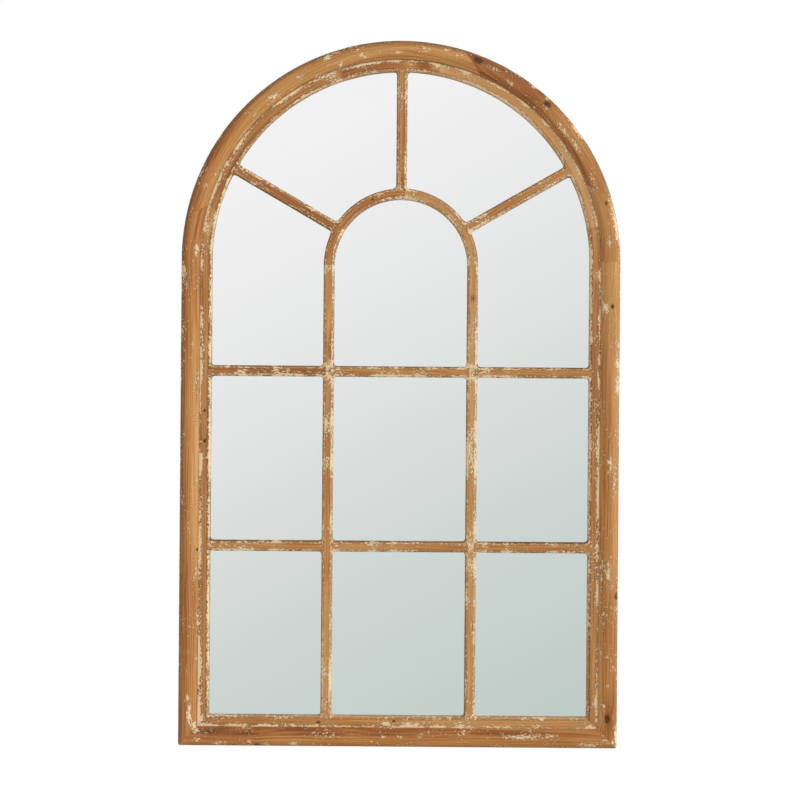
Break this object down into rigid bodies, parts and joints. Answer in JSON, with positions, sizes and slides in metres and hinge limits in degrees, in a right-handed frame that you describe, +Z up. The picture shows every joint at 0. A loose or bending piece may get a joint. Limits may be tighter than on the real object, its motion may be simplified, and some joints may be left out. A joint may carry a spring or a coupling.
{
  "type": "arched window mirror",
  "caption": "Round-headed wall mirror: a wooden window frame with glazing bars, a small inner arch and a fan of spokes laid over one mirror plate, hung by rings at the back.",
  "frame": {"origin": "centre of the bottom rail's underside, halfway through the frame's depth", "axes": "+Z up the height of the mirror, +Y back towards the wall, +X to the right as seen from the front"},
  "size_m": [0.8, 0.0436, 1.287],
  "materials": {
    "casing_wood": "distressed fir with old cream paint left in the grain and the quirk",
    "sash_wood": "distressed fir with old cream paint left along its edges",
    "bar_wood": "distressed fir with old cream paint left at the joints",
    "mirror": "silvered float glass, faintly green",
    "fibreboard": "bare medium density fibreboard",
    "dowel_wood": "plain beech dowel",
    "zinc": "zinc plated",
    "brassed_steel": "brass plated, slightly dulled",
    "rubber": "soft matt rubber"
  },
  "bodies": {
    "frame": {"casing_left_stile": "casing_wood", "casing_arch_left": "casing_wood", "casing_arch_right": "casing_wood", "casing_shoulder": "casing_wood", "casing_right_stile": "casing_wood", "casing_bottom_rail": "casing_wood", "sash_left_stile": "sash_wood", "sash_right_stile": "sash_wood", "sash_arch_left": "sash_wood", "sash_crown": "sash_wood", "sash_arch_right": "sash_wood", "sash_bottom_rail": "sash_wood", "upright_bar_left": "bar_wood", "upright_bar_right": "bar_wood", "crossbar_upper_left": "bar_wood", "crossbar_upper_middle": "bar_wood", "crossbar_upper_right": "bar_wood", "crossbar_lower_left": "bar_wood", "crossbar_lower_middle": "bar_wood", "crossbar_lower_right": "bar_wood", "fan_haunch_left": "bar_wood", "fan_arch_left": "bar_wood", "fan_arch_right": "bar_wood", "fan_haunch_right": "bar_wood", "spoke_left": "bar_wood", "spoke_centre": "bar_wood", "spoke_right": "bar_wood", "mirror_plate": "mirror", "backing_board": "fibreboard", "mirror_setting_pads": "rubber", "backing_screws": "zinc", "hanger_screws": "zinc", "casing_dowels": "dowel_wood", "hanger_strap_left": "brassed_steel", "hanger_strap_right": "brassed_steel", "wall_bumpers": "rubber"},
    "ring_left": {"hanger_ring_left": "brassed_steel"},
    "ring_right": {"hanger_ring_right": "brassed_steel"}
  },
  "joints": [
    {"name": "ring_left_swing", "type": "hinge", "parent": "frame", "child": "ring_left", "pos_m": [-0.388, 0.02195, 0.85], "axis": [1, 0, 0], "range_deg": [0, 180]},
    {"name": "ring_right_swing", "type": "hinge", "parent": "frame", "child": "ring_right", "pos_m": [0.388, 0.02195, 0.85], "axis": [1, 0, 0], "range_deg": [0, 180]}
  ]
}
